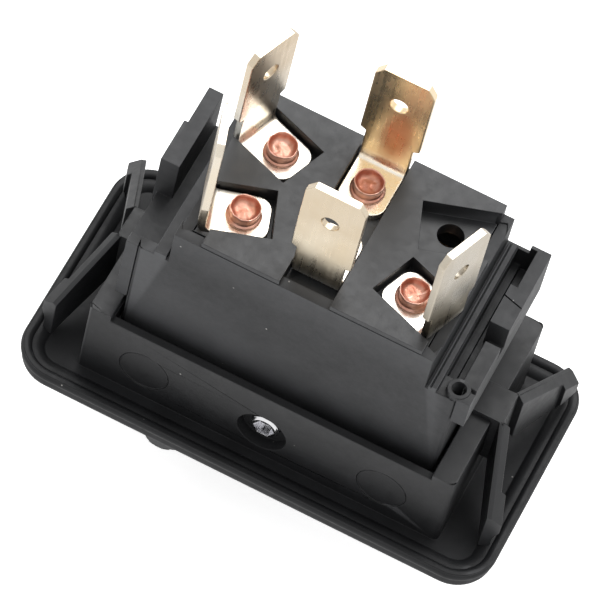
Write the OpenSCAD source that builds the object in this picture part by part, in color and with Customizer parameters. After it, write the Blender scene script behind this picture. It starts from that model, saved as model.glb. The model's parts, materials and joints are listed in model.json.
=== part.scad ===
// Snap-in panel rocker switch, terminals up (+Z), rocker down (-Z).
// Origin: centre of the bezel's rear seating plane. Millimetres.

/* [Bezel] */
// Bezel length
bezel_l = 51.1; // [50.6:0.1:51.6]
// Bezel width
bezel_w = 27.1; // [26.8:0.1:27.6]
// Bezel corner radius
bezel_r = 4; // [3.6:0.1:4.4]
// Depth from the seating plane to the bezel's face
face_depth = 2.8; // [2.7:0.1:3]
// Depth of the tray floor below the seating plane
tray_depth = 0.9; // [0.8:0.1:1]
// Thickness of the upturned rim
rim_t = 0.9; // [0.8:0.1:1]
// Rounding of the bezel's outer front edge
face_round = 1.2; // [1:0.1:1.3]
// Length of the rocker opening
opening_l = 27.2; // [27:0.1:27.4]
// Width of the rocker opening
opening_w = 16.6; // [16.5:0.1:16.8]

/* [Collar] */
// Collar length
collar_l = 39.4; // [39.2:0.1:39.8]
// Collar front face, distance from the origin
collar_front = 10.25; // [10.1:0.05:10.4]
// Collar back face, distance from the origin
collar_back = 10.95; // [10.9:0.05:11.1]
// Height of the collar's long walls
collar_h = 8.9; // [8.7:0.1:9.1]
// Height of the collar's end walls
end_wall_h = 9.7; // [9.5:0.1:9.9]
// Thickness of the upper front wall
lip_t = 0.9; // [0.8:0.1:1]
// Height of the ledge the case stands on
seat_h = 6.9; // [6.8:0.1:7]
// Radius of the ejector marks
mark_r = 2.65; // [2.4:0.05:2.8]
// Distance of each ejector mark from the middle
mark_x = 12.9; // [12.6:0.1:13.2]
// Depth of the ejector marks
mark_depth = 0.15; // [0.1:0.05:0.2]

/* [Snap wings] */
// Wing arm thickness
arm_t = 1.2; // [1:0.1:1.2]
// Reach of the barb at each tip, outward from the arm's inner face
barb_t = 1.7; // [1.6:0.1:1.7]
// Length of each barb
barb_l = 2.5; // [2.2:0.1:2.8]
// Height of the arms at their root
knee_h = 10.4; // [10:0.1:10.5]
// Height of the arms at their tips
tip_h = 4.6; // [4.4:0.1:4.8]

/* [Case] */
// Case length
case_l = 33.8; // [33.6:0.1:34]
// Case front face, distance from the origin
case_front = 8.3; // [8.2:0.05:8.35]
// Case back face, distance from the origin
case_back = 10.85; // [10.8:0.05:10.9]
// Height of the case's shoulders
shoulder_h = 20.4; // [20.2:0.1:20.6]
// Height of the terminal face
top_h = 25.8; // [25.7:0.05:25.9]
// Length of the raised top block
block_l = 27.3; // [27.2:0.1:27.4]
// Height of the lips that run along the shoulders
lip_h = 0.6; // [0.5:0.1:0.8]

/* [Terminals] */
// Blade width
blade_w = 6.3; // [6.2:0.1:6.4]
// Metal thickness
blade_t = 0.8; // [0.75:0.05:0.8]
// Stem and plate width
stem_w = 5; // [4.8:0.1:5.1]
// Height of the blade tips
blade_top = 39.3; // [39:0.1:39.6]
// Height of the blade shoulders
blade_shoulder = 29; // [28.8:0.1:29.2]
// Height of the detent hole
detent_h = 34.75; // [34.5:0.05:35]
// Radius of the detent hole
detent_r = 0.9; // [0.8:0.05:0.95]
// Turn of the corner terminals
corner_turn = 20; // [19:0.5:21]
// Column spacing
column_x = 8.97; // [8.9:0.01:9.05]
// Row distance from the case's middle line
row_y = 4.1; // [4:0.05:4.15]
// Rivet shank radius
rivet_r = 1.25; // [1.2:0.05:1.25]
// Radius of the rivets' hollow heads
head_r = 1.5; // [1.45:0.05:1.55]
// Height of the rivets' heads above the plate
head_rise = 1.5; // [1.4:0.1:1.6]

/* [Mechanism] */
// Height of the rocker's pivot axis
pivot_h = 2.8; // [2.7:0.05:2.9]
// Pivot screw radius
pivot_r = 1.5; // [1.45:0.05:1.5]
// Height of the contact bridges' pivot axis
bridge_h = 19.6; // [19.55:0.05:19.65]
// Rocker length
rocker_l = 24; // [23.8:0.1:24]
// Rocker width
rocker_w = 16; // [15.8:0.1:16]
// Height of the finger lip above the bezel's face
finger_h = 9.7; // [9.4:0.1:9.9]

/* [Hidden] */
$fn = 48;
eps = 0.01;
over = 2;

// middle line of the case, and the rivet positions about it
mid_y = 1.35;
back_middle_y = mid_y + 4.7;
front_middle_y = mid_y - 3.0;
front_row_y = mid_y - row_y;
back_row_y = mid_y + row_y;
spare_hole = [9.05, mid_y + 4.65];

// the button under the open hole sits forward of it and is smaller
shy_button_y = back_row_y - 1.1;
shy_button_r = 1;

// inner edges of the wing arms, from the root to the tip, seen from above
root_x = collar_l / 2 + 1.2;
front_arm = [[root_x - 0.4, -1.9], [23.4, -8.8]];
back_arm = [[root_x - 0.4, 1.9], [23.3, 11]];

plate_z = 24;
base_z = 22.4;
flange_z = 25.2;
seam = 0.05;
plate_reach = 2.6;
bend_u = 3.4;
bend_r = 0.7;
pocket_w = 5.5;
pocket_inner = 2.9;
pocket_outer = 5.6;
channel_w = 5.3;
rivet_hole_r = 1.32;

strip_t = 0.5;
strip_z = base_z - strip_t;
head_z = strip_z - 0.5;
fixed_face_z = 21;
bridge_t = 0.6;
bridge_w = 4.2;
bridge_half = 10.4;
button_r = 1.4;
button_top = 0.5;
leg_inner = 2.65;
leg_t = 0.45;
trunnion_r = 0.5;
trunnion_gap = 0.08;

plunger_r = 1.3;
plunger_gap = 0.07;
plunger_low = 11;
plunger_top = bridge_h - bridge_t / 2 - 0.1;
tube_r = 2.3;
tube_top = 15.5;
tube_floor = 6.2;
hub_r = 3.2;
coil_r = 1.0;
wire_r = 0.18;
coil_count = 6;

graphite = [0.16, 0.165, 0.18];
nickel = [0.86, 0.80, 0.68];
copper = [0.80, 0.50, 0.38];
silver = [0.85, 0.85, 0.86];

// rounded block, centred on X and Y, standing on z = 0
module rounded_block(l, w, h, r) {
    cube_l = l - 2 * r;
    cube_w = w - 2 * r;
    union() {
        translate([-cube_l / 2, -w / 2, 0]) cube([cube_l, w, h]);
        translate([-l / 2, -cube_w / 2, 0]) cube([l, cube_w, h]);
        for (sx = [-1, 1], sy = [-1, 1])
            translate([sx * cube_l / 2, sy * cube_w / 2, 0]) cylinder(r = r, h = h);
    }
}

// block given by its limits
module span(x0, x1, y0, y1, z0, z1) {
    translate([x0, y0, z0]) cube([x1 - x0, y1 - y0, z1 - z0]);
}

// cylinder along Y
module rod_y(r, y0, y1) {
    translate([0, y0, 0]) rotate([-90, 0, 0]) cylinder(r = r, h = y1 - y0);
}

/* ---------- bezel ---------- */

// section of the bezel's border: x outward from the corner centre, y along Z
module rim_section() {
    inner = bezel_r - 3.5;
    inner_tip_r = 0.55;
    outer_tip_r = 0.1;
    translate([inner, -face_depth]) square([bezel_r - face_round - inner, face_depth - tray_depth]);
    translate([inner, face_round - face_depth])
        square([bezel_r - inner, face_depth - tray_depth - face_round]);
    translate([bezel_r - face_round, face_round - face_depth]) circle(r = face_round);
    translate([bezel_r - rim_t, face_round - face_depth])
        square([rim_t, face_depth - face_round - inner_tip_r]);
    translate([bezel_r - rim_t + inner_tip_r, -2 * inner_tip_r])
        square([rim_t - inner_tip_r - outer_tip_r, 2 * inner_tip_r]);
    translate([bezel_r - 2 * outer_tip_r, -2 * inner_tip_r])
        square([2 * outer_tip_r, 2 * inner_tip_r - outer_tip_r]);
    translate([bezel_r - rim_t + inner_tip_r, -inner_tip_r]) circle(r = inner_tip_r);
    translate([bezel_r - outer_tip_r, -outer_tip_r]) circle(r = outer_tip_r);
}

module bezel_border() {
    cx = bezel_l / 2 - bezel_r;
    cy = bezel_w / 2 - bezel_r;
    translate([cx, cy, 0]) rotate_extrude(angle = 90) rim_section();
    translate([-cx, cy, 0]) rotate([0, 0, 90]) rotate_extrude(angle = 90) rim_section();
    translate([-cx, -cy, 0]) rotate([0, 0, 180]) rotate_extrude(angle = 90) rim_section();
    translate([cx, -cy, 0]) rotate([0, 0, 270]) rotate_extrude(angle = 90) rim_section();
    translate([cx, cy, 0]) rotate([90, 0, 0]) linear_extrude(2 * cy) rim_section();
    translate([-cx, -cy, 0]) rotate([90, 0, 180]) linear_extrude(2 * cy) rim_section();
    translate([-cx, cy, 0]) rotate([90, 0, 90]) linear_extrude(2 * cx) rim_section();
    translate([cx, -cy, 0]) rotate([90, 0, -90]) linear_extrude(2 * cx) rim_section();
}

module collar_walls() {
    depth = collar_front + collar_back;
    centre = (collar_back - collar_front) / 2;
    inner_l = collar_l / 2 - 2.4;
    difference() {
        translate([0, centre, -tray_depth - eps])
            rounded_block(collar_l, depth, end_wall_h + tray_depth, 0.5);
        span(-inner_l, inner_l, -collar_front - over, collar_back + over, collar_h, end_wall_h + over);
    }
}

module bezel_frame() {
    inner_l = bezel_l / 2 - bezel_r + 0.6;
    inner_w = bezel_w / 2 - bezel_r + 0.6;
    case_gap = 0.3;
    recess_r = 2.6;
    recess_depth = 1.3;
    color(graphite) difference() {
        union() {
            bezel_border();
            span(-inner_l, inner_l, -inner_w, inner_w, -face_depth, -tray_depth);
            collar_walls();
        }
        // rocker well
        span(-opening_l / 2, opening_l / 2, -opening_w / 2, opening_w / 2,
            -face_depth - over, seat_h + over);
        // case well
        span(-case_l / 2 - case_gap, case_l / 2 + case_gap, -collar_front + lip_t, collar_back - 0.8,
            seat_h, end_wall_h + over);
        // pivot screw bore and the recess round its head
        translate([0, 0, pivot_h]) {
            rod_y(pivot_r + 0.05, -collar_front - over, -opening_w / 2 + over);
            rod_y(recess_r, -collar_front - over, -collar_front + recess_depth);
            rod_y(2.3, opening_w / 2 + 0.3, collar_back + over);
            rod_y(pivot_r + 0.05, opening_w / 2 - over, collar_back);
        }
        // ejector marks on the front wall
        for (s = [-1, 1])
            translate([s * mark_x, 0, 3.3]) rod_y(mark_r, -collar_front - over, -collar_front + mark_depth);
    }
}

/* ---------- snap wings ---------- */

// one arm along +X with its outer face towards +Y: a tall leaf that slopes down to a barb
module arm_shape(len, low) {
    flat = 0.5;
    ramp = 38;
    slope = atan((knee_h - tip_h) / len);
    foot = 0.5;
    difference() {
        union() {
            translate([0, arm_t, 0]) rotate([90, 0, 0]) linear_extrude(arm_t)
                polygon([[0, 3.4], [len, low], [len, knee_h], [0, knee_h]]);
            translate([len - barb_l, 0, 0]) rotate([90, 0, 90]) linear_extrude(barb_l)
                polygon([[0, foot], [arm_t - 0.2, foot], [barb_t, foot + 1.5], [barb_t, knee_h], [0, knee_h]]);
        }
        // sloping top, then the ramp along its outer edge
        translate([0, -over, knee_h]) rotate([0, slope, 0]) translate([-over, 0, 0])
            cube([2 * len, 3 * over, 2 * knee_h]);
        translate([0, flat, knee_h]) rotate([0, slope, 0]) rotate([-ramp, 0, 0])
            translate([-over, 0, 0]) cube([2 * len, 2 * over, knee_h]);
    }
}

module wing_arm(path, low, outer_side) {
    run = path[1] - path[0];
    translate([path[0][0], path[0][1], 0]) rotate([0, 0, atan2(run[1], run[0])])
        mirror([0, outer_side < 0 ? 1 : 0, 0]) arm_shape(norm(run), low);
}

module snap_wing() {
    root_front = front_arm[0][1];
    root_back = back_arm[0][1];
    root_top = end_wall_h + 0.7;
    wing_arm(front_arm, -0.7, 1);
    wing_arm(back_arm, 0.2, -1);
    // root: a post against the end wall, hooked over its top
    span(collar_l / 2, root_x, root_front, root_back, 3.4, root_top);
    span(collar_l / 2 - 2.2, root_x, root_front, root_back, end_wall_h, root_top);
}

module right_snap_wing() {
    color(graphite) snap_wing();
}

module left_snap_wing() {
    color(graphite) mirror([1, 0, 0]) snap_wing();
}

/* ---------- case and terminal base ---------- */

// pocket under one terminal, opening towards the side
module pocket(x, y, turn, grow) {
    translate([x, y, plate_z]) rotate([0, 0, turn])
        span(-pocket_inner - grow, pocket_outer, -pocket_w / 2 - grow, pocket_w / 2 + grow, 0, over);
}

module corner_pockets(grow) {
    pocket(column_x, back_row_y, corner_turn, grow);
    pocket(column_x, front_row_y, -corner_turn, grow);
    pocket(-column_x, back_row_y, 180 - corner_turn, grow);
    pocket(-column_x, front_row_y, 180 + corner_turn, grow);
    // the corners behind the back pockets are cut down as well
    for (s = [-1, 1])
        span(s > 0 ? 12.55 : -14.2, s > 0 ? 14.2 : -12.55, back_row_y, case_back + over,
            plate_z + 0.2, top_h + over);
}

module switch_case() {
    half = case_l / 2;
    block = block_l / 2;
    cavity_x = 14;
    lip_in = block + 0.25;
    lip_out = 14.8;
    groove_in = lip_out + 0.05;
    rail_in = 16.05;
    rail_out = 18.15;
    run_in = 16.5;
    recess_in = 16.75;
    step_x = 15.65;
    left_rail = 17.2;
    left_groove = 15.25;
    ring_x = 16.6;
    ring_y = -7.1;
    color(graphite) difference() {
        union() {
            // lower box and raised block
            translate([0, (case_back - 1 - case_front) / 2, seat_h])
                rounded_block(case_l, case_front + case_back - 1, shoulder_h - seat_h, 0.4);
            translate([0, (case_back - case_front) / 2, collar_h + 0.3])
                rounded_block(case_l, case_front + case_back, shoulder_h - collar_h - 0.3, 0.4);
            span(-block, block, -case_front, case_back, collar_h + 0.3, flange_z - seam);
            // lips along both shoulders
            span(lip_in, lip_out, -case_front, case_back - 0.4, shoulder_h - eps, shoulder_h + lip_h);
            span(-left_groove + 0.05, -lip_in, -case_front, case_back - 0.4, shoulder_h - eps,
                shoulder_h + lip_h);
            // right rail: high block at the back, lower run, front nib and ring
            span(rail_in, rail_out, 0.95, case_back, 15, 21.4);
            span(run_in, rail_out, -6.2, 1, 15, shoulder_h);
            span(half - eps, rail_out + 0.15, -case_front, -6.9, 17, 20.9);
            translate([ring_x, ring_y, shoulder_h - eps]) cylinder(r = 1.15, h = 0.6);
            // left rail: two blocks and a front post
            span(-18.8, -left_rail, 6.1, case_back, 13, 21.6);
            span(-19.2, -left_rail, 1, 6.15, 13, 21.6);
            span(-18.8, -half + eps, -5, case_back, 13, 16);
            span(-18.1, -half + eps, -case_front, ring_y, 11.3, 20.4);
        }
        // inside
        span(-cavity_x, cavity_x, -case_front + 1.2, case_back - 2.2, seat_h - over, 19.2);
        span(-12.5, 12.5, -case_front + 1.2, case_back - 1.2, 19.1, top_h);
        // dark groove outside the right lip, with a stepped floor and a thin back wall
        span(groove_in, step_x, -6, case_back - 0.4, 18, 22);
        span(step_x - eps, rail_in, -6, case_back - 0.4, 17.5, 22);
        span(step_x, run_in, -6, 0.95, 17.5, 22);
        span(step_x, recess_in, 5.8, case_back - 0.4, 17.5, 22);
        // notch between the lower run and the high block
        span(step_x, rail_out + over, -0.6, 0.95, 18.2, 22);
        // parting lines on the lip and across the high block
        span(lip_in + 0.22, lip_in + 0.34, -case_front - over, case_back, shoulder_h + lip_h - 0.3, 22);
        translate([rail_in - 0.2, 4.35, 21]) rotate([0, 0, -16]) cube([over + 1, 0.12, 1]);
        // left groove
        span(-left_rail, -left_groove, -7, case_back + over, 16, 22);
        // ring bore
        translate([ring_x, ring_y, 18.6]) cylinder(r = 0.72, h = 4);
        corner_pockets(seam);
        // channel through the back wall
        span(-channel_w / 2, channel_w / 2, back_row_y, case_back + over, plate_z, top_h);
    }
}

module terminal_base() {
    block = block_l / 2;
    gap = 0.1;
    flange_left = 10.9;
    flange_right = 12.4;
    color(graphite) difference() {
        union() {
            span(-block + seam, block - seam, -case_front + seam, case_back - seam, flange_z, top_h);
            span(-12.5 + gap, 12.5 - gap, -case_front + 1.2 + gap, case_back - 1.2 - gap, base_z,
                flange_z + eps);
        }
        corner_pockets(0);
        // the flange stops short of the front corners
        span(-block - over, -flange_left, -case_front - over, front_row_y, flange_z, top_h + over);
        span(flange_right, block + over, -case_front - over, front_row_y, flange_z, top_h + over);
        span(-channel_w / 2, channel_w / 2, -case_front - over, case_back + over, plate_z, top_h + over);
        for (p = [[-column_x, front_row_y], [-column_x, back_row_y], [column_x, front_row_y], spare_hole])
            translate([p[0], p[1], base_z - over]) cylinder(r = rivet_hole_r, h = 3 * over);
        for (y = [front_middle_y, back_middle_y])
            translate([0, y, base_z - over]) cylinder(r = rivet_hole_r, h = 3 * over);
    }
}

/* ---------- terminals ---------- */

// side view of the bent strip: x outward from the rivet, y along Z
module bend_section(top) {
    outer = bend_r + blade_t;
    translate([-plate_reach, plate_z]) square([plate_reach + bend_u - bend_r, blade_t]);
    translate([bend_u, plate_z + outer]) square([blade_t, top - plate_z - outer]);
    translate([bend_u - bend_r, plate_z + outer]) intersection() {
        difference() {
            circle(r = outer);
            circle(r = bend_r);
        }
        translate([0, -outer]) square([outer, outer]);
    }
}

// blade outline: x across the blade, y along Z
module blade_outline() {
    chamfer = 0.8;
    half = blade_w / 2;
    step = 0.3;
    polygon([[-half, blade_shoulder], [-half, blade_top - 1.1], [-half + chamfer, blade_top],
        [half - chamfer, blade_top], [half, blade_top - 1.1], [half, blade_shoulder],
        [stem_w / 2, blade_shoulder - step], [-stem_w / 2, blade_shoulder - step]]);
}

module terminal(x, y, turn) {
    corner = 1.5;
    translate([x, y, 0]) rotate([0, 0, turn]) difference() {
        union() {
            rotate([90, 0, 0]) translate([0, 0, -stem_w / 2]) linear_extrude(stem_w)
                bend_section(blade_shoulder + 0.5);
            translate([bend_u, 0, 0]) rotate([90, 0, 90]) linear_extrude(blade_t) blade_outline();
        }
        translate([0, 0, plate_z - over]) cylinder(r = rivet_r + 0.03, h = 3 * over);
        translate([bend_u - over, 0, detent_h]) rotate([0, 90, 0]) cylinder(r = detent_r, h = 3 * over);
        // rounded end of the plate
        for (s = [-1, 1]) translate([-plate_reach + corner, s * (stem_w / 2 - corner), plate_z - over])
            difference() {
                translate([-2 * corner, s > 0 ? 0 : -2 * corner, 0]) cube([2 * corner, 2 * corner, 2 * over]);
                cylinder(r = corner, h = 3 * over);
            }
    }
}

module front_left_terminal() {
    color(nickel) terminal(-column_x, front_row_y, 180 + corner_turn - 2.5);
}

module back_left_terminal() {
    color(nickel) terminal(-column_x, back_row_y, 180 - corner_turn);
}

module front_right_terminal() {
    color(nickel) terminal(column_x, front_row_y, -corner_turn);
}

module front_middle_terminal() {
    color(nickel) terminal(0, front_middle_y, 270);
}

module back_middle_terminal() {
    color(nickel) terminal(0, back_middle_y, 90);
}

// tubular rivet: foot ring on the plate, thin-walled cup, flat lower head
module rivet(x, y, low_r) {
    top = plate_z + blade_t;
    foot_r = head_r + 0.25;
    foot_h = 0.3;
    cup_floor = 0.6;
    cup_r = head_r - 0.14;
    translate([x, y, 0]) difference() {
        union() {
            translate([0, 0, head_z]) cylinder(r = rivet_r, h = top - head_z);
            translate([0, 0, head_z]) cylinder(r = low_r, h = strip_z - head_z);
            translate([0, 0, top]) cylinder(r = foot_r, h = foot_h);
            translate([0, 0, top + foot_h - eps]) cylinder(r = head_r, h = head_rise - foot_h + eps);
        }
        translate([0, 0, top + cup_floor])
            cylinder(r1 = cup_r - 0.35, r2 = cup_r, h = head_rise - cup_floor + eps);
    }
}

module terminal_rivets() {
    color(copper) {
        rivet(-column_x, front_row_y, 1.6);
        rivet(-column_x, back_row_y, 1.6);
        rivet(column_x, front_row_y, 1.6);
        rivet(0, front_middle_y, 1.45);
        rivet(0, back_middle_y, 1.45);
    }
}

/* ---------- inside contacts ---------- */

module contact_strip(x, y0, y1, holes) {
    half = 2.1;
    difference() {
        span(x - half, x + half, y0 - half, y1 + half, strip_z, base_z);
        for (y = holes) translate([x, y, strip_z - over]) cylinder(r = rivet_r + 0.03, h = 2 * over);
    }
}

module fixed_contacts() {
    color(copper) {
        contact_strip(-column_x, front_row_y, front_row_y, [front_row_y]);
        contact_strip(-column_x, back_row_y, back_row_y, [back_row_y]);
        contact_strip(column_x, front_row_y, shy_button_y - 1.05, [front_row_y]);
    }
}

module fixed_buttons() {
    color(silver) {
        for (p = [[-column_x, front_row_y], [-column_x, back_row_y], [column_x, front_row_y]])
            translate([p[0], p[1], fixed_face_z]) cylinder(r = button_r, h = head_z - fixed_face_z);
        translate([column_x, shy_button_y, fixed_face_z])
            cylinder(r = shy_button_r, h = strip_z - fixed_face_z);
    }
}

// bracket under a middle rivet: two ears carry the bridge's trunnions
module fulcrum(row, rivet_y) {
    half_x = 2.1;
    ear_x = 1.3;
    ear_low = bridge_h - 1;
    difference() {
        union() {
            span(-half_x, half_x, row - leg_inner - leg_t, row + leg_inner + leg_t, strip_z, base_z);
            for (y = [row - leg_inner - leg_t, row + leg_inner])
                span(-ear_x, ear_x, y, y + leg_t, ear_low, base_z);
        }
        translate([0, rivet_y, strip_z - over]) cylinder(r = rivet_r + 0.03, h = 2 * over);
        translate([0, 0, bridge_h])
            rod_y(trunnion_r + trunnion_gap, row - leg_inner - over, row + leg_inner + over);
    }
}

module front_fulcrum() {
    color(copper) fulcrum(front_row_y, front_middle_y);
}

module rear_fulcrum() {
    color(copper) fulcrum(back_row_y, back_middle_y);
}

module bridge(row) {
    reach = leg_inner + leg_t - 0.05;
    span(-bridge_half, bridge_half, row - bridge_w / 2, row + bridge_w / 2, bridge_h - bridge_t / 2,
        bridge_h + bridge_t / 2);
    translate([0, 0, bridge_h]) {
        rod_y(trunnion_r, row - reach, row - bridge_w / 2 + eps);
        rod_y(trunnion_r, row + bridge_w / 2 - eps, row + reach);
    }
}

module front_bridge() {
    color(copper) bridge(front_row_y);
}

module rear_bridge() {
    color(copper) bridge(back_row_y);
}

module bridge_button(x, y, r) {
    translate([x, y, bridge_h + bridge_t / 2]) cylinder(r = r, h = button_top - bridge_t / 2);
}

module front_bridge_buttons() {
    color(silver) {
        bridge_button(-column_x, front_row_y, button_r);
        bridge_button(column_x, front_row_y, button_r);
    }
}

module rear_bridge_buttons() {
    color(silver) {
        bridge_button(-column_x, back_row_y, button_r);
        bridge_button(column_x, shy_button_y, shy_button_r);
    }
}

/* ---------- rocker, plungers, pivot ---------- */

module plunger(row) {
    translate([0, row, 0]) {
        translate([0, 0, plunger_low]) cylinder(r = plunger_r, h = plunger_top - plunger_r - plunger_low);
        translate([0, 0, plunger_top - plunger_r]) rotate_extrude() intersection() {
            circle(r = plunger_r);
            square(plunger_r);
        }
    }
}

module front_plunger() {
    color([0.86, 0.84, 0.78]) plunger(front_row_y);
}

module rear_plunger() {
    color([0.86, 0.84, 0.78]) plunger(back_row_y);
}

// compression spring, drawn as turns joined by short risers
module spring(row) {
    low = tube_floor + 0.02 + wire_r;
    high = plunger_low - 0.02 - wire_r;
    pitch = (high - low) / (coil_count - 1);
    translate([0, row, 0]) for (i = [0:coil_count - 1]) {
        translate([0, 0, low + i * pitch]) rotate_extrude() translate([coil_r, 0]) circle(r = wire_r, $fn = 16);
        if (i < coil_count - 1) rotate([0, 0, i % 2 * 180])
            translate([coil_r, 0, low + i * pitch]) cylinder(r = wire_r * 0.9, h = pitch, $fn = 16);
    }
}

module front_spring() {
    color(silver) spring(front_row_y);
}

module rear_spring() {
    color(silver) spring(back_row_y);
}

// side view of the rocker: x along the length, y along Z
module rocker_section() {
    half = rocker_l / 2;
    peak = -face_depth - finger_h;
    difference() {
        union() {
            polygon([[-half, 0.5], [-half, peak + 2.6], [-half + 1, peak + 0.7], [-half + 2.1, peak],
                [-6.7, peak + 2], [-3.2, peak + 4.2], [0.5, peak + 5.4], [half - 0.9, peak + 5.4],
                [half, peak + 6.3], [half, 0.5]]);
            translate([-half + 1.7, peak + 1.55]) circle(r = 1.6);
        }
        // finger dish
        translate([5.4, peak - 12.2]) circle(r = 18, $fn = 96);
    }
}

module rocker() {
    wall = 1.4;
    half = rocker_l / 2;
    roof = -face_depth - 1.2;
    color(graphite) difference() {
        union() {
            difference() {
                rotate([90, 0, 0]) translate([0, 0, -rocker_w / 2]) linear_extrude(rocker_w) rocker_section();
                span(-half + wall, half - wall, -rocker_w / 2 + wall, rocker_w / 2 - wall, roof, over);
            }
            translate([0, 0, pivot_h]) rod_y(hub_r, -rocker_w / 2 + 0.3, rocker_w / 2 - 0.3);
            span(-2.4, 2.4, -rocker_w / 2 + 0.3, rocker_w / 2 - 0.3, roof - 0.5, pivot_h);
            for (row = [front_row_y, back_row_y])
                translate([0, row, pivot_h]) cylinder(r = tube_r, h = tube_top - pivot_h);
        }
        translate([0, 0, pivot_h]) rod_y(pivot_r + 0.06, -rocker_w, rocker_w);
        for (row = [front_row_y, back_row_y])
            translate([0, row, tube_floor]) cylinder(r = plunger_r + plunger_gap, h = tube_top);
    }
}

module pivot_screw() {
    front = collar_front - 0.5;
    socket = 1.95;
    color([0.9, 0.9, 0.92]) translate([0, 0, pivot_h]) difference() {
        union() {
            rod_y(pivot_r, -front + 0.25, collar_back - 0.6);
            translate([0, -front, 0]) rotate([-90, 0, 0]) cylinder(r1 = pivot_r - 0.2, r2 = pivot_r, h = 0.26);
        }
        translate([0, -front - 1, 0]) rotate([-90, 0, 0]) cylinder(d = socket / cos(30), h = 2.2, $fn = 6);
    }
}

module pivot_insert() {
    color([0.78, 0.62, 0.32]) translate([0, 0, pivot_h]) difference() {
        rod_y(2.28, opening_w / 2 + 0.32, collar_back - 0.1);
        rod_y(pivot_r + 0.02, 0, collar_back + over);
    }
}

bezel_frame();
left_snap_wing();
right_snap_wing();
switch_case();
terminal_base();
front_left_terminal();
back_left_terminal();
front_middle_terminal();
back_middle_terminal();
front_right_terminal();
terminal_rivets();
fixed_contacts();
fixed_buttons();
front_fulcrum();
rear_fulcrum();
front_bridge();
rear_bridge();
front_bridge_buttons();
rear_bridge_buttons();
front_plunger();
rear_plunger();
front_spring();
rear_spring();
rocker();
pivot_screw();
pivot_insert();
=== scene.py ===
"""Snap-in rocker switch seen from behind: finishing pieces, materials and a white studio around the frame."""

import json
import math

import bmesh
import bpy
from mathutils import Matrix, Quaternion, Vector, noise
from mathutils.bvhtree import BVHTree


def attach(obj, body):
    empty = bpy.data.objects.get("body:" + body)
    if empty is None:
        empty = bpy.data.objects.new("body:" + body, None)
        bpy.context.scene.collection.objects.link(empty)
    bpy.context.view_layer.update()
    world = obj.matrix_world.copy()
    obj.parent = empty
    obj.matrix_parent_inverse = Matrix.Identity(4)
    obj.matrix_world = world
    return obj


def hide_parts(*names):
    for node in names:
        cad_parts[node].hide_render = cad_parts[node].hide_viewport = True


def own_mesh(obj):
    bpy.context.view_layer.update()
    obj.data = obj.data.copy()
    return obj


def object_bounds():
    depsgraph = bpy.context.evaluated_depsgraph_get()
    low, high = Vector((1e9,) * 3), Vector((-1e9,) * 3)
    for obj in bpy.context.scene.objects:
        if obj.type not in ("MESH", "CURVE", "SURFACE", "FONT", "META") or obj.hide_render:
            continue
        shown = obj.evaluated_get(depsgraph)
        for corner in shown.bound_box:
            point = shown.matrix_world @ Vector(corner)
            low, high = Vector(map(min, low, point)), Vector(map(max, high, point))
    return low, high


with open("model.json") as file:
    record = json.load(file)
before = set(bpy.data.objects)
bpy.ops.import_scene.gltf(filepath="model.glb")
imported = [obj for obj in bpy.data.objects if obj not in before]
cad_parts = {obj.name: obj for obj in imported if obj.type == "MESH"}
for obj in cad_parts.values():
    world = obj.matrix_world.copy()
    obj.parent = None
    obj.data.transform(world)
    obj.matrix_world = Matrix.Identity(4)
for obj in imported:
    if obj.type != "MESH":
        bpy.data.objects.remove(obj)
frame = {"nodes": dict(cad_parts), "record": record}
cad_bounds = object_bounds()

MM = 0.001
SCENE = bpy.context.scene
BODY_OF = {
    node: body
    for body, nodes in frame["record"]["behaviour"]["bodies"].items()
    for node in nodes
}
SLOT_OF = {part["node"]: part["material_slot"] for part in frame["record"]["subparts"]}


# ---------------------------------------------------------------- node helpers


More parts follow.
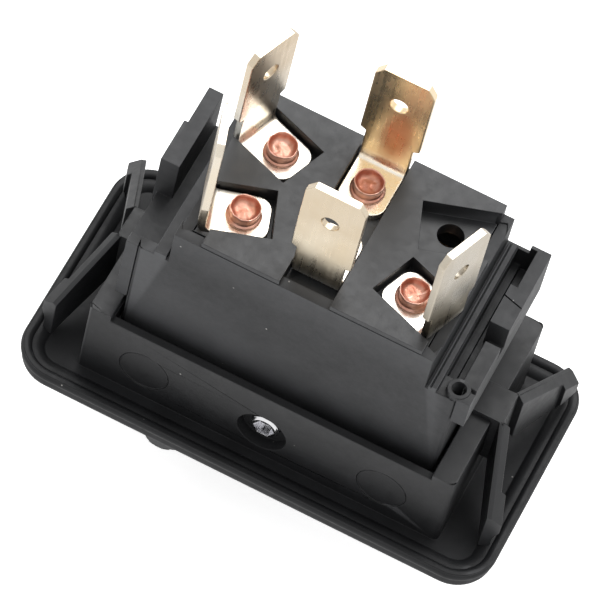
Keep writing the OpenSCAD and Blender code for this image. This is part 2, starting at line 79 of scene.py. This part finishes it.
class Graph:
    """A material's node tree, with short calls for the nodes used here."""

    def __init__(self, name):
        self.material = bpy.data.materials.new(name)
        self.material.use_nodes = True
        self.tree = self.material.node_tree
        self.shader = self.tree.nodes["Principled BSDF"]
        self.coordinates = self.tree.nodes.new("ShaderNodeTexCoord").outputs["Object"]

    def link(self, source, target):
        self.tree.links.new(source, target)

    def stretched(self, scale):
        """The object's coordinates with their axes scaled, for brushed or drawn surfaces."""
        node = self.tree.nodes.new("ShaderNodeMapping")
        node.inputs["Scale"].default_value = scale
        self.link(self.coordinates, node.inputs["Vector"])
        return node.outputs["Vector"]

    def noise(self, per_mm, detail=3.0, rough=0.55, vector=None):
        """Noise whose features are about 1 / per_mm millimetres wide."""
        node = self.tree.nodes.new("ShaderNodeTexNoise")
        node.inputs["Scale"].default_value = per_mm / MM
        node.inputs["Detail"].default_value = detail
        node.inputs["Roughness"].default_value = rough
        self.link(vector or self.coordinates, node.inputs["Vector"])
        return node.outputs["Fac"]

    def cells(self, per_mm):
        """Distance to the nearest of some scattered points."""
        node = self.tree.nodes.new("ShaderNodeTexVoronoi")
        node.inputs["Scale"].default_value = per_mm / MM
        self.link(self.coordinates, node.inputs["Vector"])
        return node.outputs["Distance"]

    def height(self):
        """The surface's height above the seating plane, in metres."""
        node = self.tree.nodes.new("ShaderNodeSeparateXYZ")
        self.link(self.coordinates, node.inputs["Vector"])
        return node.outputs["Z"]

    def remap(self, value, low, high, out_low, out_high):
        node = self.tree.nodes.new("ShaderNodeMapRange")
        self.link(value, node.inputs["Value"])
        limits = (low, high, out_low, out_high)
        for name, number in zip(("From Min", "From Max", "To Min", "To Max"), limits):
            node.inputs[name].default_value = number
        return node.outputs["Result"]

    def mix(self, factor, first, second):
        """A colour between first and second, each a colour or a socket."""
        node = self.tree.nodes.new("ShaderNodeMix")
        node.data_type = "RGBA"
        self.link(factor, node.inputs["Factor"])
        for socket, colour in ((node.inputs[6], first), (node.inputs[7], second)):
            if isinstance(colour, tuple):
                socket.default_value = (*colour, 1)
            else:
                self.link(colour, socket)
        return node.outputs[2]

    def math(self, operation, first, second):
        node = self.tree.nodes.new("ShaderNodeMath")
        node.operation = operation
        for socket, value in zip(node.inputs, (first, second)):
            if isinstance(value, (int, float)):
                socket.default_value = value
            else:
                self.link(value, socket)
        return node.outputs["Value"]

    def pointiness(self):
        return self.tree.nodes.new("ShaderNodeNewGeometry").outputs["Pointiness"]

    def bump(self, height, strength, distance_mm, base=None):
        node = self.tree.nodes.new("ShaderNodeBump")
        node.inputs["Strength"].default_value = strength
        node.inputs["Distance"].default_value = distance_mm * MM
        self.link(height, node.inputs["Height"])
        if base is not None:
            self.link(base, node.inputs["Normal"])
        return node.outputs["Normal"]

    def set(self, socket, value):
        """A constant goes on the shader's own socket, and a node's output is linked to it."""
        target = self.shader.inputs[socket]
        if isinstance(value, bpy.types.NodeSocket):
            self.link(value, target)
        else:
            target.default_value = (*value, 1) if isinstance(value, tuple) else value


# ---------------------------------------------------------------- materials


def moulded_plastic(name, tone, roughness, grain=0.5, sheen=0.5, low_sheen=0.5):
    """Satin black nylon: faint flow marks, fine grain, dust specks, and edges painted lighter as rubbed wear
    and as a painted edge highlight.

    low_sheen is the gloss of what lies near the seating plane, and sheen that of the rest; a low_sheen below
    sheen is painted shade, darkening the part near the seating plane.
    """
    dark = tuple(c * 0.85 for c in tone)
    light = tuple(c * 1.2 for c in tone)
    edge_wear_and_highlight = tuple(c * 3 + 0.03 for c in tone)
    dust = (0.42, 0.41, 0.39)
    low_end, high_start = -1.5 * MM, 3.0 * MM
    g = Graph(name)
    cloud = g.noise(0.22, detail=4)
    colour = g.mix(g.remap(cloud, 0.35, 0.65, 0, 1), dark, light)
    # edges painted lighter: partly rubbed wear, partly a painted edge highlight
    edge_wear_and_highlight_mask = g.remap(g.pointiness(), 0.53, 0.60, 0, 0.55)
    colour = g.mix(edge_wear_and_highlight_mask, colour, edge_wear_and_highlight)
    specks = g.remap(g.cells(0.33), 0.020, 0.034, 0.75, 0)
    patches = g.remap(g.noise(0.12, detail=1), 0.50, 0.56, 0, 1)
    colour = g.mix(g.math("MULTIPLY", specks, patches), colour, dust)
    g.set("Base Color", colour)
    scuffs = g.noise(0.9, detail=5, rough=0.7)
    g.set("Roughness", g.remap(scuffs, 0.3, 0.7, roughness - 0.06, roughness + 0.09))
    g.set("IOR", 1.48)
    # painted shade: where low_sheen is below sheen, the gloss falls towards the seating plane so the low
    # parts look darker
    g.set("Specular IOR Level", g.remap(g.height(), low_end, high_start, low_sheen, sheen))
    fine = g.bump(g.noise(9.0, detail=2), grain * 0.35, 0.02)
    g.set("Normal", g.bump(cloud, 0.25, 0.05, base=fine))
    return g.material


def plated_brass(name, high, low):
    """Nickel-plated brass strip, drawn along Z; its blade's tone goes from low at the foot to high, and these
    tones carry painted reflection and painted shade as well as the metal's tint; its flat plate is painted
    near white as a painted reflection.
    """
    plate_top, bend_top = 25.0 * MM, 26.2 * MM
    foot_top, upper_start = 27.0 * MM, 34.5 * MM
    plate_painted_highlight = (0.96, 0.93, 0.86)
    bare_edge_and_highlight = (0.90, 0.84, 0.73)
    tarnish = (high[0] * 0.94, high[1] * 0.86, high[2] * 0.72)
    g = Graph(name)
    # the blade's tones from foot to top hold painted reflection and painted shade as well as its tint
    blade_tint_and_painted_light = g.mix(g.remap(g.height(), foot_top, upper_start, 0, 1), low, high)
    # the flat plate below the bend is painted near white, a painted reflection of the bright light above
    colour = g.mix(g.remap(g.height(), plate_top, bend_top, 0, 1), plate_painted_highlight, blade_tint_and_painted_light)
    colour = g.mix(g.remap(g.noise(0.16, detail=3), 0.38, 0.64, 0, 0.45), colour, tarnish)
    # edges painted lighter: partly bare worn metal, partly a painted edge highlight
    colour = g.mix(g.remap(g.pointiness(), 0.52, 0.60, 0, 0.7), colour, bare_edge_and_highlight)
    g.set("Base Color", colour)
    g.set("Metallic", 1.0)
    drawn = g.noise(2.2, detail=3, rough=0.5, vector=g.stretched((1.0, 1.0, 0.03)))
    blotches = g.noise(0.5, detail=4)
    brushed = g.remap(drawn, 0.3, 0.7, 0.24, 0.34)
    g.set("Roughness", g.math("ADD", brushed, g.remap(blotches, 0.3, 0.7, -0.04, 0.05)))
    g.set("Normal", g.bump(drawn, 0.05, 0.008, base=g.bump(blotches, 0.35, 0.05)))
    return g.material


def metal(name, tones, roughness, grain_per_mm, bump_mm):
    """Bare metal: two tones in soft patches, a painted highlight on its edges, with a fine pressed or turned
    bump.
    """
    edge_highlight_tone = tuple(min(c * 1.25 + 0.15, 0.97) for c in tones[1])
    g = Graph(name)
    colour = g.mix(g.remap(g.noise(0.6, detail=4), 0.35, 0.65, 0, 1), *tones)
    # painted highlight: the edges are painted brighter
    painted_edge_highlight = g.remap(g.pointiness(), 0.53, 0.62, 0, 0.8)
    g.set("Base Color", g.mix(painted_edge_highlight, colour, edge_highlight_tone))
    g.set("Metallic", 1.0)
    grain = g.noise(grain_per_mm, detail=4, rough=0.6)
    g.set("Roughness", g.remap(grain, 0.3, 0.7, roughness - 0.06, roughness + 0.1))
    g.set("Normal", g.bump(grain, 0.4, bump_mm))
    return g.material


def acetal(name):
    """Natural acetal: milky and waxy."""
    g = Graph(name)
    patches = g.noise(0.4, detail=3)
    g.set("Base Color", g.mix(patches, (0.80, 0.78, 0.71), (0.88, 0.86, 0.80)))
    g.set("Roughness", g.remap(g.noise(4.0), 0.3, 0.7, 0.3, 0.42))
    g.set("Subsurface Weight", 0.15)
    g.set("Subsurface Scale", 0.001)
    g.set("Normal", g.bump(g.noise(6.0, detail=2), 0.2, 0.01))
    return g.material


BLACK = (0.0088, 0.0092, 0.0102)
BEZEL_BLACK = (0.0095, 0.0098, 0.0108)
CASE_BLACK = (0.0170, 0.0175, 0.0190)
BASE_BLACK = (0.0120, 0.0125, 0.0138)
# each metal's darker and lighter tone
ROLLED_COPPER = ((0.52, 0.22, 0.15), (0.70, 0.40, 0.31))
STRIP_COPPER = ((0.72, 0.40, 0.25), (0.82, 0.50, 0.34))
SILVER = ((0.80, 0.80, 0.78), (0.90, 0.90, 0.88))
STEEL = ((0.50, 0.50, 0.51), (0.64, 0.64, 0.65))
CHROME = ((0.82, 0.82, 0.84), (0.90, 0.90, 0.91))
TURNED_BRASS = ((0.74, 0.56, 0.28), (0.84, 0.68, 0.40))
MATERIALS = {
    # the bezel's weak gloss near its seating plane is painted shade on its lower rim
    "bezel_plastic": moulded_plastic("bezel_nylon", BEZEL_BLACK, 0.50, sheen=0.56, low_sheen=0.22),
    "wing_plastic": moulded_plastic("wing_nylon", BLACK, 0.44),
    "case_plastic": moulded_plastic("case_nylon", CASE_BLACK, 0.52, sheen=0.45, low_sheen=0.45),
    "base_plastic": moulded_plastic("base_nylon", BASE_BLACK, 0.38),
    "rocker_plastic": moulded_plastic("rocker_nylon", BLACK, 0.36),
    "rivet_copper": metal("peened_copper", ROLLED_COPPER, 0.42, grain_per_mm=2.0, bump_mm=0.09),
    "contact_copper": metal("copper_strip", STRIP_COPPER, 0.32, grain_per_mm=3.0, bump_mm=0.02),
    "contact_silver": metal("silver_facing", SILVER, 0.25, grain_per_mm=4.0, bump_mm=0.01),
    "plunger_plastic": acetal("natural_acetal"),
    "spring_steel": metal("spring_wire", STEEL, 0.22, grain_per_mm=6.0, bump_mm=0.005),
    "screw_chrome": metal("bright_plating", CHROME, 0.14, grain_per_mm=5.0, bump_mm=0.006),
    "insert_brass": metal("turned_brass", TURNED_BRASS, 0.28, grain_per_mm=4.0, bump_mm=0.01),
}
# each terminal has its own tones, its tint mixed with painted reflection and painted shade, such as the
# back-left foot painted near white as a reflection of the plate and the front-right foot painted nearly black
# as shade: the tone of its blade's upper part, then of its foot
TERMINAL_TINTS_AND_PAINTED_LIGHT = {
    "front_left_terminal": ((0.80, 0.73, 0.62), (0.78, 0.68, 0.54)),
    "back_left_terminal": ((0.68, 0.57, 0.43), (1.0, 0.99, 0.92)),
    "front_middle_terminal": ((0.70, 0.60, 0.46), (0.97, 0.87, 0.69)),
    "back_middle_terminal": ((0.95, 0.79, 0.54), (1.0, 0.74, 0.42)),
    "front_right_terminal": ((0.54, 0.49, 0.41), (0.05, 0.05, 0.035)),
}


def paint(piece, node):
    """A terminal has a finish of its own, and every other node takes its slot's."""
    piece.data.materials.clear()
    if node in TERMINAL_TINTS_AND_PAINTED_LIGHT:
        piece.data.materials.append(plated_brass(node + "_finish", *TERMINAL_TINTS_AND_PAINTED_LIGHT[node]))
    else:
        piece.data.materials.append(MATERIALS[SLOT_OF[node]])


# ---------------------------------------------------------------- moulded and pressed pieces


def stands_for(piece, *nodes):
    """The piece takes its place, body and finish from the CAD nodes that it stands for."""
    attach(piece, BODY_OF[nodes[0]])
    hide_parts(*nodes)
    paint(piece, nodes[0])
    return piece


def new_piece(name, bm):
    mesh = bpy.data.meshes.new(name)
    bm.to_mesh(mesh)
    bm.free()
    piece = bpy.data.objects.new(name, mesh)
    SCENE.collection.objects.link(piece)
    return piece


def shade(piece, sharp_degrees=40):
    """Smooth shading, broken at the edges sharper than this."""
    piece.data.shade_smooth()
    piece.data.set_sharp_from_angle(angle=math.radians(sharp_degrees))


def corner_normals(bm, rounded, surface, limit):
    """Normals from the CAD surface, so flat faces stay flat and each rounded strip turns between them."""
    own = {f: surface.find_nearest(f.calc_center_median())[1] for f in bm.faces if f not in rounded}
    resting = {}
    for vertex in bm.verts:
        total = Vector()
        for face in vertex.link_faces:
            if face in own:
                total += own[face] * face.calc_area()
        resting[vertex] = total.normalized()
    normals = []
    for face in bm.faces:
        for corner in face.loops:
            normal = resting[corner.vert]
            if face in own and own[face].angle(normal, math.pi) > limit:
                normal = own[face]
            normals.append(normal if normal.length > 0.5 else face.normal.copy())
    return normals


def softened(node, width_mm, segments=2, sharp_degrees=32):
    """A copy of the CAD node's shape with its sharp edges rounded, as a mould or press leaves them."""
    bm = bmesh.new()
    bm.from_mesh(frame["nodes"][node].data)
    bmesh.ops.remove_doubles(bm, verts=bm.verts, dist=1e-6)
    surface = BVHTree.FromBMesh(bm)
    bmesh.ops.dissolve_limit(bm, angle_limit=math.radians(0.6), verts=bm.verts, edges=bm.edges)
    bmesh.ops.triangulate(bm, faces=bm.faces, ngon_method="BEAUTY")
    limit = math.radians(sharp_degrees)
    width = width_mm * MM
    sharp = [e for e in bm.edges if len(e.link_faces) == 2 and e.calc_face_angle(0) > limit]
    bevel = bmesh.ops.bevel(
        bm,
        geom=sharp,
        offset=width,
        offset_type="OFFSET",
        segments=segments,
        profile=0.5,
        affect="EDGES",
        clamp_overlap=False,
        loop_slide=True,
        miter_outer="SHARP",
    )
    rounded = set(bevel["faces"])
    # where many edges meet, a corner can overshoot: it goes back onto the CAD surface
    for vertex in bm.verts:
        nearest, _, _, distance = surface.find_nearest(vertex.co)
        if distance > 0.8 * width:
            vertex.co = nearest
    bm.normal_update()
    normals = corner_normals(bm, rounded, surface, limit)
    piece = new_piece(node + "_finished", bm)
    piece.data.shade_smooth()
    piece.data.normals_split_custom_set(normals)
    return stands_for(piece, node)


TERMINAL_ROUNDING_MM = 0.14
ROUNDING_MM = {
    "bezel_frame": 0.12,
    "left_snap_wing": 0.12,
    "right_snap_wing": 0.12,
    "switch_case": 0.10,
    "terminal_base": 0.08,
    "rocker": 0.15,
    "pivot_screw": 0.05,
}
for node, width_mm in ROUNDING_MM.items():
    softened(node, width_mm)
for node in TERMINAL_TINTS_AND_PAINTED_LIGHT:
    softened(node, TERMINAL_ROUNDING_MM, segments=3)


# ---------------------------------------------------------------- rivets

# places on the terminal face, in millimetres
SIDE_X = 8.97
FRONT_ROW_Y = -2.75
BACK_ROW_Y = 5.45
MIDDLE_FRONT_Y = -1.65
MIDDLE_BACK_Y = 6.05


def ring_of(bm, centre, radius, height, steps, uneven):
    """One turn of vertices; uneven moves each of them a little, in and out and up and down."""
    turn = []
    for step in range(steps):
        angle = math.tau * step / steps
        point = Vector((math.cos(angle) * radius, math.sin(angle) * radius, height))
        shift = noise.noise_vector((point + centre) * 1.6) * uneven * 1.5
        turn.append(bm.verts.new((centre + point + shift) * MM))
    return turn


def add_rivet(bm, x, y, low_head_r):
    """A tubular rivet whose head was rolled into an uneven, thin-walled cup."""
    plate_top, strip_bottom, lowest = 24.8, 21.9, 21.4
    shank_r = 1.24
    steps = 96
    # radius, height and unevenness, from the low head up the shank and over the cup's rim
    section = [
        (low_head_r - 0.12, lowest, 0),
        (low_head_r, lowest + 0.12, 0),
        (low_head_r, strip_bottom - 0.06, 0),
        (low_head_r - 0.06, strip_bottom, 0),
        (shank_r, strip_bottom, 0),
        (shank_r, plate_top, 0),
        (1.66, plate_top, 0),
        (1.74, plate_top + 0.06, 0.01),
        (1.75, plate_top + 0.17, 0.02),
        (1.69, plate_top + 0.27, 0.02),
        (1.53, plate_top + 0.31, 0.02),
        (1.46, plate_top + 0.40, 0.02),
        (1.48, plate_top + 0.80, 0.03),
        (1.52, plate_top + 1.20, 0.04),
        (1.53, plate_top + 1.38, 0.05),
        (1.49, plate_top + 1.46, 0.05),
        (1.43, plate_top + 1.46, 0.05),
        (1.37, plate_top + 1.38, 0.05),
        (1.31, plate_top + 1.15, 0.05),
        (1.22, plate_top + 0.90, 0.06),
        (1.02, plate_top + 0.70, 0.07),
        (0.70, plate_top + 0.60, 0.09),
        (0.36, plate_top + 0.64, 0.11),
    ]
    centre = Vector((x, y, 0))
    turns = [ring_of(bm, centre, r, z, steps, uneven) for r, z, uneven in section]
    for lower, upper in zip(turns, turns[1:]):
        for i in range(steps):
            j = (i + 1) % steps
            bm.faces.new((lower[i], lower[j], upper[j], upper[i]))
    bm.faces.new(reversed(turns[0]))
    crown = bm.verts.new((centre + Vector((0, 0, plate_top + 0.68))) * MM)
    for i in range(steps):
        bm.faces.new((turns[-1][i], turns[-1][(i + 1) % steps], crown))


SIDE_HEAD_R = 1.6
MIDDLE_HEAD_R = 1.45
RIVETS = [
    (-SIDE_X, FRONT_ROW_Y, SIDE_HEAD_R),
    (-SIDE_X, BACK_ROW_Y, SIDE_HEAD_R),
    (SIDE_X, FRONT_ROW_Y, SIDE_HEAD_R),
    (0, MIDDLE_FRONT_Y, MIDDLE_HEAD_R),
    (0, MIDDLE_BACK_Y, MIDDLE_HEAD_R),
]
noise.seed_set(5)  # the same unevenness on every run
rivets = bmesh.new()
for x, y, low_head_r in RIVETS:
    add_rivet(rivets, x, y, low_head_r)
shade(stands_for(new_piece("peened_rivets", rivets), "terminal_rivets"), sharp_degrees=60)


# ---------------------------------------------------------------- springs


def wound_spring(name, y):
    """A compression spring with closed ends, wound from round wire."""
    coil_r, wire_r = 1.0, 0.17
    seat, low, high = 6.2, 6.4, 10.8
    turns, closed_turns = 7.5, 1.1
    steps, sides = 300, 12
    closed_rise = 2 * wire_r * 1.05

    def height(turn):
        """Height along the coil: shallow in the closed turns, steep between them."""
        open_rise = (high - low - 2 * closed_rise * closed_turns) / (turns - 2 * closed_turns)
        start = min(turn, closed_turns) * closed_rise
        middle = min(max(turn - closed_turns, 0), turns - 2 * closed_turns) * open_rise
        return low + start + middle + max(turn - turns + closed_turns, 0) * closed_rise

    bm = bmesh.new()
    loops = []
    for step in range(steps + 1):
        turn = turns * step / steps
        angle = math.tau * turn
        out = Vector((math.cos(angle), math.sin(angle), 0))
        centre = Vector((0, y, height(turn))) + out * coil_r
        loop = []
        for side in range(sides):
            around = math.tau * side / sides
            spoke = out * math.cos(around) + Vector((0, 0, math.sin(around)))
            loop.append(bm.verts.new((centre + spoke * wire_r) * MM))
        loops.append(loop)
    for first, second in zip(loops, loops[1:]):
        for i in range(sides):
            j = (i + 1) % sides
            bm.faces.new((first[i], second[i], second[j], first[j]))
    bm.faces.new(loops[0])
    bm.faces.new(reversed(loops[-1]))
    bmesh.ops.recalc_face_normals(bm, faces=bm.faces)
    piece = new_piece(name + "_wound", bm)
    shade(piece)
    stands_for(piece, name)
    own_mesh(piece)


wound_spring("front_spring", FRONT_ROW_Y)
wound_spring("rear_spring", BACK_ROW_Y)

# the nodes that no piece stands for keep their CAD shape
for node, cad_piece in frame["nodes"].items():
    if not cad_piece.hide_render:
        paint(cad_piece, node)

# ---------------------------------------------------------------- studio


def make_camera():
    """A long lens above and in front, rolled so that the bezel's long side falls to the right."""
    azimuth, elevation, roll = (math.radians(a) for a in (12.41, 57.31, 15.66))
    target = Vector((-3.255, 5.266, 2.903)) * MM
    distance = 590.4 * MM
    level = Vector((math.sin(azimuth), -math.cos(azimuth), 0))
    back = level * math.cos(elevation) + Vector((0, 0, math.sin(elevation)))
    camera = bpy.data.objects.new("camera", bpy.data.cameras.new("camera"))
    SCENE.collection.objects.link(camera)
    camera.data.lens = 360
    camera.data.sensor_width = 36
    camera.data.clip_start, camera.data.clip_end = 0.05, 20
    camera.location = target + back * distance
    camera.rotation_mode = "QUATERNION"
    camera.rotation_quaternion = (-back).to_track_quat("-Z", "Y") @ Quaternion((0, 0, 1), roll)
    SCENE.camera = camera


def soft_box(name, position, size, watts):
    """A square white area light that faces the object; places and sizes are in metres."""
    light = bpy.data.lights.new(name, "AREA")
    light.shape = "SQUARE"
    light.size = size
    light.energy = watts
    box = bpy.data.objects.new(name, light)
    box.location = position
    box.rotation_mode = "QUATERNION"
    box.rotation_quaternion = (-Vector(position)).to_track_quat("-Z", "Y")
    SCENE.collection.objects.link(box)


def make_floor():
    """A pale round floor just below the lowest point that the rocker reaches."""
    tilt_room = 2.2 * MM
    level = cad_bounds[0].z - tilt_room
    bm = bmesh.new()
    bmesh.ops.create_circle(bm, cap_ends=True, radius=6.0, segments=96)
    bmesh.ops.translate(bm, verts=bm.verts, vec=(0, 0, level))
    floor = new_piece("floor", bm)
    g = Graph("pale_floor")
    g.set("Base Color", g.mix(g.noise(0.004, detail=2), (0.93, 0.93, 0.93), (0.95, 0.95, 0.95)))
    g.set("Roughness", 0.9)
    g.set("Specular IOR Level", 0.1)
    g.set("Emission Color", (1.0, 1.0, 1.0))
    g.set("Emission Strength", 0.62)
    floor.data.materials.append(g.material)
    floor.visible_glossy = False


def make_world(above, below):
    """White all round, with its own strength above and below the horizon."""
    band_low, band_high = -0.3, 0.1
    world = bpy.data.worlds.new("white_studio")
    world.use_nodes = True
    tree = world.node_tree
    background = tree.nodes["Background"]
    background.inputs["Color"].default_value = (1, 1, 1, 1)
    direction = tree.nodes.new("ShaderNodeTexCoord").outputs["Generated"]
    split = tree.nodes.new("ShaderNodeSeparateXYZ")
    tree.links.new(direction, split.inputs["Vector"])
    blend = tree.nodes.new("ShaderNodeMapRange")
    tree.links.new(split.outputs["Z"], blend.inputs["Value"])
    limits = (band_low, band_high, below, above)
    for name, number in zip(("From Min", "From Max", "To Min", "To Max"), limits):
        blend.inputs[name].default_value = number
    tree.links.new(blend.outputs["Result"], background.inputs["Strength"])
    SCENE.world = world


make_camera()
make_world(above=0.95, below=1.15)
make_floor()
soft_box("back_key", (-0.23, 1.06, 1.68), 1.2, 16)
soft_box("right_fill", (0.90, 0.68, 1.68), 0.9, 9)
SCENE.view_settings.view_transform = "Standard"
SCENE.view_settings.look = "None"
